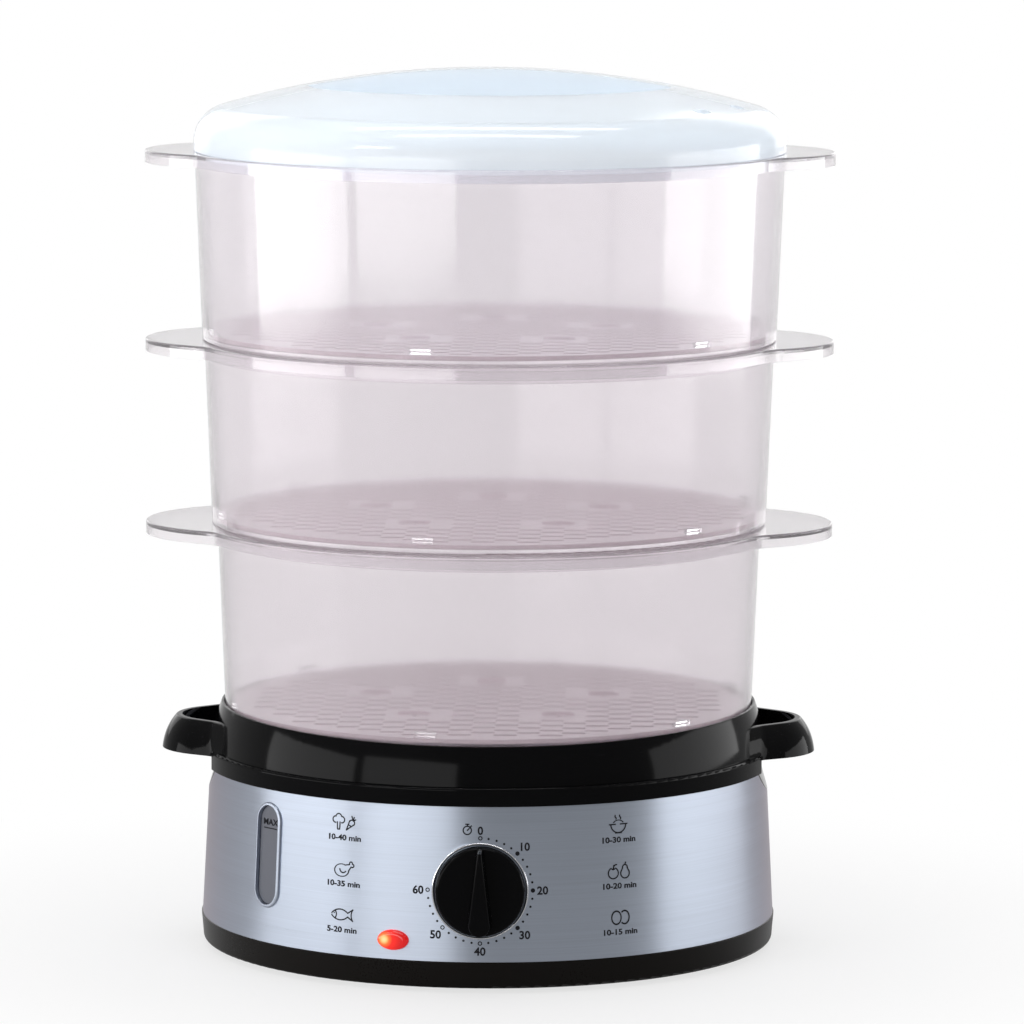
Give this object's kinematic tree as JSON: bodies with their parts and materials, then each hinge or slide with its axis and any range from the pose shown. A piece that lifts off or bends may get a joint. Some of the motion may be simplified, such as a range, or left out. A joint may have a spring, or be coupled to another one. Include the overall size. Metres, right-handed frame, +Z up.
{
  "type": "electric food steamer",
  "caption": "Round electric food steamer with a steel-banded base, timer knob and water window, under stacked clear baskets and a clear domed lid.",
  "frame": {"origin": "on the axis of the round base, at the height of the surface that its feet stand on", "axes": "+Z up; -Y towards the dial at the front; +X towards the right-hand handle as seen from the front"},
  "size_m": [0.3014, 0.2799, 0.385],
  "materials": {
    "gloss_black": "polished black plastic",
    "satin_black": "satin black plastic",
    "foot_rubber": "matt black rubber",
    "seal_rubber": "pale grey silicone",
    "brushed_steel": "horizontally brushed stainless steel",
    "tank_plastic": "black polypropylene",
    "gauge_clear": "grey clear plastic",
    "heater_metal": "pressed aluminium",
    "plain_steel": "plain zinc-plated steel",
    "fasteners": "zinc-plated steel",
    "dark_phenolic": "dark brown phenolic",
    "sleeve_plastic": "grey polypropylene",
    "tray_clear": "milky clear plastic",
    "bright_ring": "bright plated plastic ring",
    "timer_case": "natural nylon",
    "lamp_red": "clear red plastic",
    "neon_glass": "neon bulb in a clear tube",
    "block_white": "white nylon",
    "wire_sheath": "woven heatproof sleeve",
    "basket_clear": "clear plastic, slightly blue",
    "grid_clear": "clear plastic, slightly frosted",
    "lid_clear": "clear plastic, slightly blue"
  },
  "bodies": {
    "base": {"bottom_cover": "satin_black", "rubber_feet": "foot_rubber", "bottom_screws": "fasteners", "steel_band": "brushed_steel", "collar": "gloss_black", "right_handle": "gloss_black", "left_handle": "gloss_black", "water_tank": "tank_plastic", "gauge_window": "gauge_clear", "gauge_seal": "seal_rubber", "heater_plate": "heater_metal", "heater_seal": "seal_rubber", "heating_element": "heater_metal", "heater_clamp": "heater_metal", "heater_nuts": "fasteners", "thermostat": "dark_phenolic", "thermal_fuse": "dark_phenolic", "steam_ring": "sleeve_plastic", "knob_ring": "bright_ring", "timer_body": "timer_case", "timer_bell": "plain_steel", "timer_bracket": "plain_steel", "timer_screws": "fasteners", "bracket_screws": "fasteners", "indicator_lens": "lamp_red", "neon_lamp": "neon_glass", "cord_gland": "satin_black", "cord_clamp": "satin_black", "clamp_screws": "fasteners", "terminal_block": "block_white", "internal_wires": "wire_sheath"},
    "knob": {"timer_knob": "gloss_black", "timer_shaft": "plain_steel"},
    "drip_tray": {"drip_tray": "tray_clear"},
    "lower_basket": {"lower_basket": "basket_clear", "lower_floor_grid": "grid_clear"},
    "middle_basket": {"middle_basket": "basket_clear", "middle_floor_grid": "grid_clear"},
    "upper_basket": {"upper_basket": "basket_clear", "upper_floor_grid": "grid_clear"},
    "lid": {"lid": "lid_clear"}
  },
  "joints": [
    {"name": "timer_turn", "type": "hinge", "parent": "base", "child": "knob", "pos_m": [0, -0.12444, 0.044], "axis": [0, 0.9987, -0.0513], "range_deg": [0, 270]},
    {"name": "tray_lift", "type": "slide", "parent": "base", "child": "drip_tray", "axis": [0, 0, 1], "range_m": [0, 0.06]},
    {"name": "lower_basket_lift", "type": "slide", "parent": "drip_tray", "child": "lower_basket", "axis": [0, 0, 1], "range_m": [0, 0.08]},
    {"name": "middle_basket_lift", "type": "slide", "parent": "lower_basket", "child": "middle_basket", "axis": [0, 0, 1], "range_m": [0, 0.08]},
    {"name": "upper_basket_lift", "type": "slide", "parent": "middle_basket", "child": "upper_basket", "axis": [0, 0, 1], "range_m": [0, 0.08]},
    {"name": "lid_lift", "type": "slide", "parent": "upper_basket", "child": "lid", "axis": [0, 0, 1], "range_m": [0, 0.08]}
  ]
}
